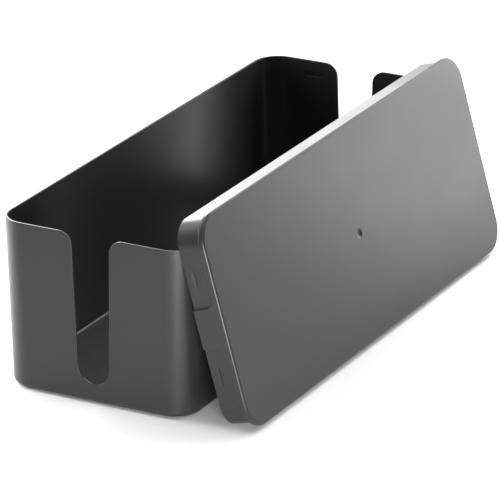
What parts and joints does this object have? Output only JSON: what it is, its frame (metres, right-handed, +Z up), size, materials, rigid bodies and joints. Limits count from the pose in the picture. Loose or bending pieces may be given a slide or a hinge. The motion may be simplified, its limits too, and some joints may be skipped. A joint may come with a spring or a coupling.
{
  "type": "cable management box",
  "caption": "Open-topped plastic tray for a power strip, with a U-shaped cable slot in each end wall, and a shallow lid that clicks on, shown off and leaning on the tray's long side.",
  "frame": {"origin": "centre of the tray's flat underside; the four rubber feet reach 1.2 mm below it, and the lid's lower edge is level with the feet", "axes": "+X along the tray, from one cable slot to the other; +Z up; the lid leans on the -Y long side, so -Y is the front"},
  "size_m": [0.407, 0.2066, 0.1544],
  "materials": {
    "box_plastic": "dark grey moulded plastic, satin, with a fine even texture",
    "foot_rubber": "matte black rubber"
  },
  "bodies": {
    "tray": {"base": "box_plastic", "foot_front_left": "foot_rubber", "foot_front_right": "foot_rubber", "foot_rear_left": "foot_rubber", "foot_rear_right": "foot_rubber"},
    "lid": {"lid": "box_plastic"}
  },
  "joints": [
    {"name": "lid_lift", "type": "slide", "parent": "tray", "child": "lid", "axis": [0, 0, 1], "range_m": [0, 0.16]}
  ]
}
